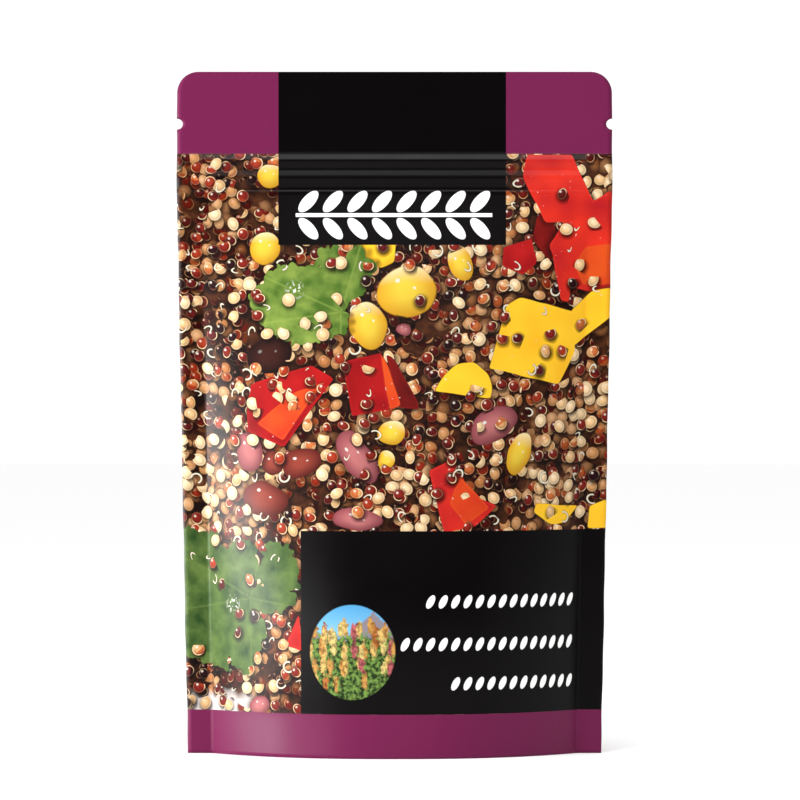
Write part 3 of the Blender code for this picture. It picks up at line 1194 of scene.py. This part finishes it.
studio = {
    "floorFront": 0.6,  # metres from the pouch
    "floorSide": 4.0,
    "floorBack": 6.0,
    "floorColour": (0.98, 0.98, 0.98, 1.0),
    "floorRoughness": 0.9,
    "skyColour": (1.0, 1.0, 1.0, 1.0),
    "skyStrength": 1.06,
    "rightStrength": 0.55,  # the room is darker to the right
    "rightEdge": (0.5, 1.0),
    "frontShare": 0.22,  # and much darker behind the camera, so that the blacks stay deep
    "frontEdge": (-0.45, -0.75),
    "frontLevel": (0.45, 0.20),
    "cameraDistance": 2.2,
    "cameraHeight": 0.145,
    "aimX": 0.0020,
    "aimZ": 0.1296,
    "frameWidth": 0.2936,  # what the picture spans at the pouch
    "sensor": 36.0,
}


softboxes = [
    # name, place, aim, width, height and watts
    ("leftStrip", (-1.07, -0.25, 0.09), (0.0, 0.0, 0.09), 0.55, 0.16, 13.0),
    ("leftLow", (-0.72, -0.69, 0.04), (0.0, 0.0, 0.02), 0.67, 0.07, 2.2),
    ("leftWide", (-0.84, -0.71, 0.40), (0.0, 0.0, 0.125), 0.80, 0.80, 1.8),
    ("topBox", (-0.12, -0.62, 1.17), (0.0, 0.0, 0.125), 0.60, 0.40, 7.0),
]


def aimAt(thing, target):
    thing.rotation_mode = "QUATERNION"
    thing.rotation_quaternion = (Vector(target) - thing.location).to_track_quat("-Z", "Y")


def makeCamera():
    data = bpy.data.cameras.new("camera")
    data.sensor_width = studio["sensor"]
    data.lens = studio["sensor"] * studio["cameraDistance"] / studio["frameWidth"]
    data.clip_end = 100.0
    camera = putIn("camera", data)
    camera.location = (studio["aimX"], -studio["cameraDistance"], studio["cameraHeight"])
    aimAt(camera, (studio["aimX"], 0.0, studio["aimZ"]))
    bpy.context.scene.camera = camera


def makeSoftbox(name, place, target, width, height, power):
    data = bpy.data.lights.new(name, "AREA")
    data.shape = "RECTANGLE"
    data.size = width
    data.size_y = height
    data.energy = power
    box = putIn(name, data)
    box.location = place
    aimAt(box, target)


def makeStudio():
    scene = bpy.context.scene
    scene.view_settings.view_transform = "Standard"
    world = bpy.data.worlds.new("white studio")
    world.use_nodes = True
    desk = Desk(world.node_tree)
    around = desk.parts(desk.node("ShaderNodeTexCoord"))
    start, end = studio["rightEdge"]
    strength = desk.node("ShaderNodeMapRange", None, {
        "Value": around, "From Min": start, "From Max": end,
        "To Min": studio["skyStrength"], "To Max": studio["rightStrength"]})
    ahead = desk.rise(around.also("Y"), *studio["frontEdge"])
    level = desk.rise(abs(around.also("Z")), *studio["frontLevel"])
    strength = strength * (1.0 - ahead * level * (1.0 - studio["frontShare"]))
    seen = desk.node("ShaderNodeLightPath")  # the camera itself always sees the plain white room
    strength = (studio["skyStrength"] - strength) * seen + strength
    background = world.node_tree.nodes["Background"]
    background.inputs["Color"].default_value = studio["skyColour"]
    desk.feed(background.inputs["Strength"], strength)
    scene.world = world
    side, front, back = studio["floorSide"], -studio["floorFront"], studio["floorBack"]
    corners = [[(-side, y, 0.0), (side, y, 0.0)] for y in (front, back)]
    floor = putIn("floor", gridMesh("floor", np.array(corners)))
    paper, desk = newFilm("floorPaper")
    shader = desk.node("ShaderNodeBsdfPrincipled", None, {
        "Base Color": studio["floorColour"], "Roughness": studio["floorRoughness"],
        "Specular IOR Level": 0.0})
    desk.node("ShaderNodeOutputMaterial", None, {"Surface": shader})
    floor.data.materials.append(paper)
    for softbox in softboxes:
        makeSoftbox(*softbox)


makeCamera()
makeStudio()
print("studio set")

front = makePanel("frontPanel", -1, frontFilm())
back = makePanel("backPanel", 1, backFilm())
gusset = makeBase("baseGusset", baseFilm())
for piece in (front, back, gusset):
    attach(piece, "root")
    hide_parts("pouch")
print("pouch dressed")
